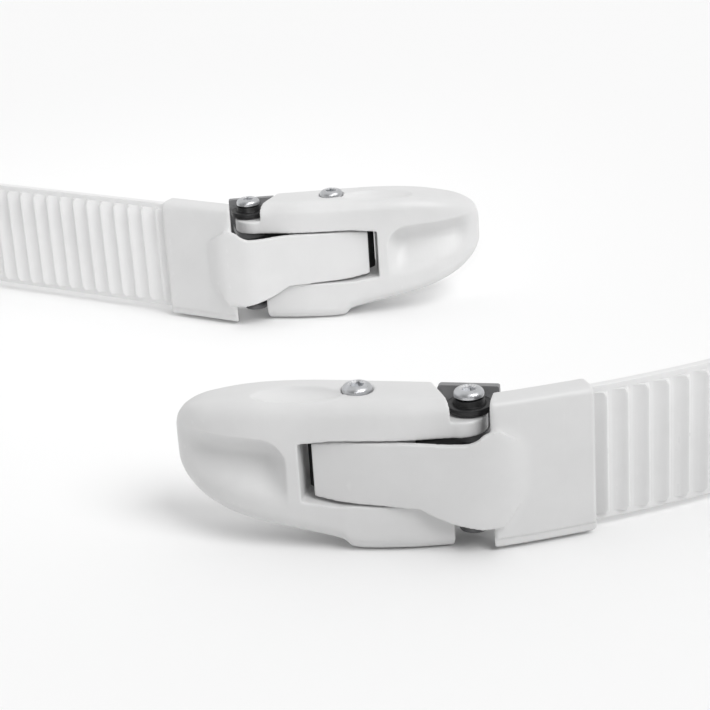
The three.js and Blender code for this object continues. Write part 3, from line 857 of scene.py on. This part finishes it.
def sleeve_shell(side, half):
    """The sleeve's outside: its upper front edge is well rounded and its lower front edge has a lip."""
    low, high = STRAP_MIDDLE - half, STRAP_MIDDLE + half
    shell = slab(band(side, -1, SLEEVE_LENGTH, 0, SLEEVE_DEPTH, 24), low, high)
    at = route(side)
    crest = [Vector((*at(half_step / 2, 0), high)) for half_step in range(-2, 2 * int(SLEEVE_LENGTH) + 2)]
    bevel_edges(shell, 2.0, 6, near_any(crest, 0.6))
    ease_edges(shell, 0.8, 3, 60)
    lip = slab(band(side, -3, SLEEVE_LENGTH + 3, -2, 0.35, 24), low - 2, low + 2)
    return cut(shell, block((-BEYOND, -BEYOND, -BEYOND), (SLEEVE_START - 1, BEYOND, BEYOND)), lip)


def cover_cheek(outer):
    """The cover's upper side wall, which holds the link barrel and the cover pin."""
    cheek_outer = ARM_INNER - 0.7
    outline = [point for point in outer if point[0] < -10]
    outline += [(-10, -5.4), (LINK_X + 4, 1.2), (LINK_X - 3, 1.6), (LINK_X - 6.5, -3), (TONGUE_END, -6)]
    cheek = slab(outline, FRAME_HALF + SEAT_GAP, cheek_outer)
    edge = [(-31, 0), (-31, 5.6), (-30, TONGUE_HALF), (-25, cheek_outer), (-9, cheek_outer), (-9, 0)]
    trim(cheek, slab(edge, -BEYOND, BEYOND, "Y"))
    link_bore = rod(PIVOT_BORE_R, 0, DRILL, LINK_X, LINK_Y)
    return cut(cheek, link_bore, rod(COVER_PIN_R + PIN_GAP, 0, DRILL, *COVER_PIN))


def pawl_pin_place(side):
    return 0.4, SIDES[side]["start_y"] + 0.9


def make_frame(side):
    """Black inner frame under the cover, with bosses for the link, the cover pin and the pawl."""
    across = (-FRAME_HALF, FRAME_HALF)
    line = [(x, y + COVER_WALL + SEAT_GAP) for x, y in hood_line(side) if LINK_X - 2 < x < 3.6]
    frame_piece = slab(line + [(x, y + FRAME_WALL) for x, y in reversed(line)], *across)
    web = slab([(LINK_X - 2, -6.6), (LINK_X + 4, -6.8), (LINK_X + 3, LINK_Y), (LINK_X - 3, LINK_Y)], *across)
    pin_x, pin_y = pawl_pin_place(side)
    fuse(frame_piece, web, frame_nose(), rod(LINK_BOSS_R, *across, LINK_X, LINK_Y),
         rod(PAWL_PIN_BOSS_R, *across, pin_x, pin_y), rod(COVER_PIN_BOSS_R, *across, *COVER_PIN))
    slot_half = PAWL_HALF + SEAT_GAP
    cut(frame_piece, block((pin_x - 2.2, -BEYOND, -slot_half), (10, BEYOND, slot_half)),
        rod(PIVOT_BORE_R, -DRILL, DRILL, LINK_X, LINK_Y),
        rod(PAWL_PIN_R + PIN_GAP, -DRILL, DRILL, pin_x, pin_y),
        rod(COVER_PIN_R + PIN_GAP, -DRILL, DRILL, *COVER_PIN))
    return melt(frame_piece, 0.2, 1, 0.5)


def frame_nose():
    """Fills the gap at the tongue's end with the frame's black plastic, a dark piece standing in for the
    shade in the slot's end (painted shade), and clears the slot's end wall as the receiver swings.
    """
    reach, half = LINK_X - SLOT_WALL - RUNNING_GAP, TONGUE_HALF - 0.6
    turns = (-0.14, 0, 0.14, 0.244)
    tip = [(LINK_X - reach * math.cos(turn), LINK_Y - reach * math.sin(turn)) for turn in turns]
    return slab([(-30.4, -5.9), (-23, -6.7), (-23, 0), *tip], -half, half)


def make_pawl(side):
    """Spring catch: a short arm on a boss with a hooked nose."""
    pin_x, pin_y = pawl_pin_place(side)
    across = (PAWL_HALF - PAWL_WIDTH, PAWL_HALF)
    outline = [(pin_x, -1.2), (5, -1), (7.1, -0.5), (7.2, 0.1), (6.3, 0.3), (pin_x, 1.2)]
    arm = slab([(x, pin_y + y) for x, y in outline], *across)
    fuse(arm, rod(PAWL_PIN_BOSS_R - 0.1, *across, pin_x, pin_y))
    cut(arm, rod(PAWL_PIN_R + 0.15, -BEYOND, BEYOND, pin_x, pin_y))
    return ease_edges(arm, 0.12, 2)


def make_pin(radius, half, x, y):
    inner, shoulder = radius - 0.15, half - 0.15
    profile = [(0, -half), (inner, -half), (radius, -shoulder), (radius, shoulder), (inner, half), (0, half)]
    return turned(profile, x, y, 40)


# ---- making the pieces ----

PIVOT_BARREL_LOW = -WASHER_TOP - SEAT_GAP - HEAD_HEIGHT
LINK_BARREL_LOW = HEAD_SEAT - SEAT_GAP - HEAD_HEIGHT

for_both(make_lever, "lever", "handle", "white_plastic")
for_both(lambda: make_screw(WASHER_TOP + SEAT_GAP), "pivot_screw", "bases", "plated_steel", 35)
for_both(lambda: make_screw(LINK_SEAT + SEAT_GAP, LINK_X, LINK_Y), "link_screw", "handle", "plated_steel", 35)
# The pivot barrel takes the dark painted finish so that its head reads as the dark shaded line under the
# hood: painted shade on a real part.
for_both(lambda: make_barrel(PIVOT_BARREL_LOW, WASHER_TOP), "pivot_barrel", "bases", "painted_steel", 35)
for_both(lambda: make_barrel(LINK_BARREL_LOW, LINK_SEAT, LINK_X, LINK_Y),
         "link_barrel", "handle", "plated_steel", 35)
for_both(make_washers, "upper_washers", "bases", "black_plastic", 40)
for_both(make_lower_washers, "lower_washers", "bases", "black_plastic", 40)
for_both(make_base_plate, "base_plate", "bases", "painted_steel", 35)
for_both(lambda: make_pin(COVER_PIN_R, 6.2, *COVER_PIN), "cover_pin", "receiver", "plated_steel", 35)
for buckle in SIDES:
    deliver(make_cover(buckle), buckle, "receiver_cover", "receiver", "white_plastic")
    deliver(make_frame(buckle), buckle, "receiver_frame", "receiver", "black_plastic")
    deliver(make_pawl(buckle), buckle, "pawl", "catch", "black_plastic", smooth_angle=35)
    pin = make_pin(PAWL_PIN_R, FRAME_HALF, *pawl_pin_place(buckle))
    deliver(pin, buckle, "pawl_pin", "receiver", "plated_steel", smooth_angle=35)
    deliver(make_strap(buckle), buckle, "strap", "band", "strap_plastic", smooth_angle=40)

# The springs stay as they came, with a finish of their own.
for node_name in frame["nodes"]:
    if node_name.endswith("pawl_spring"):
        for finish_slot in bpy.data.objects[node_name].material_slots:
            finish_slot.material = FINISHES["spring_steel"]


# ---- studio ----

def make_floor():
    clear_bench()
    bpy.ops.mesh.primitive_plane_add(size=6, location=(0, 0, 0))
    floor = bpy.context.object
    floor.name = "studio_floor"
    paper = bpy.data.materials.new("pale_studio_paper")
    paper.use_nodes = True
    shader = paper.node_tree.nodes["Principled BSDF"]
    shader.inputs["Base Color"].default_value = (*grey(0.93), 1)
    shader.inputs["Roughness"].default_value = 0.9
    floor.data.materials.append(paper)


def hang(name, light, shine, place=(0, 0, 0)):
    """Hangs a lamp at a place, turned to shine along a direction."""
    lamp = bpy.data.objects.new(name, light)
    lamp.location = place
    lamp.rotation_euler = shine.to_track_quat("-Z", "Y").to_euler()
    bpy.context.scene.collection.objects.link(lamp)
    return lamp


def light_studio():
    """A bright tent with a dim, open front, a broad panel at the front right and a beam on the far buckle."""
    world = bpy.data.worlds.new("studio_tent")
    world.use_nodes = True
    tree = world.node_tree
    axes = tree.nodes.new("ShaderNodeSeparateXYZ")
    tree.links.new(tree.nodes.new("ShaderNodeTexCoord").outputs["Generated"], axes.inputs[0])
    backdrop = tree.nodes["Background"]
    backdrop.inputs["Color"].default_value = (1, 1, 1, 1)
    tree.links.new(ramp(tree, axes.outputs["Y"], -0.9, 0.1, 0.1, 0.82), backdrop.inputs["Strength"])
    bpy.context.scene.world = world
    panel = bpy.data.lights.new("front_right_panel", "SUN")
    panel.energy = 1.7
    panel.angle = math.radians(35)
    hang("front_right_panel", panel, Vector((-0.46, 0.49, -0.74)))
    beam = bpy.data.lights.new("far_buckle_beam", "SPOT")
    beam.energy = 14
    beam.spot_size = math.radians(16)
    beam.spot_blend = 1.0
    beam.shadow_soft_size = 0.06
    stand, target = Vector((-0.05, -0.9, 0.45)), Vector((-0.05, 0.035, 0.025))
    hang("far_buckle_beam", beam, target - stand, stand).scale = (1, 0.4, 1)


CAMERA_FROM_PIVOT, CAMERA_DOWN, CAMERA_ROLL, CAMERA_LENS = (-21.72, -345.52, 158.16), 21.28, -3.813, 97.04


def place_camera():
    """Looks along +Y and down at the buckles, from a place given in millimetres from the right pivot."""
    pivot = Vector(JOINTS["right_lever_swing"]["pos_m"])
    down, roll = math.radians(CAMERA_DOWN), math.radians(CAMERA_ROLL)
    ahead = Vector((0, math.cos(down), -math.sin(down)))
    level, above = Vector((1, 0, 0)), Vector((0, math.sin(down), math.cos(down)))
    across = level * math.cos(roll) + above * math.sin(roll)
    up = above * math.cos(roll) - level * math.sin(roll)
    lens = bpy.data.cameras.new("camera")
    lens.sensor_width = 36
    lens.lens = CAMERA_LENS
    lens.clip_start = 0.01
    camera = bpy.data.objects.new("camera", lens)
    turn = Matrix((across, up, -ahead)).transposed()
    stand = pivot + Vector(CAMERA_FROM_PIVOT) * MM
    camera.matrix_world = Matrix.Translation(stand) @ turn.to_4x4()
    bpy.context.scene.collection.objects.link(camera)
    bpy.context.scene.camera = camera


make_floor()
light_studio()
place_camera()
bpy.context.scene.view_settings.view_transform = "Standard"
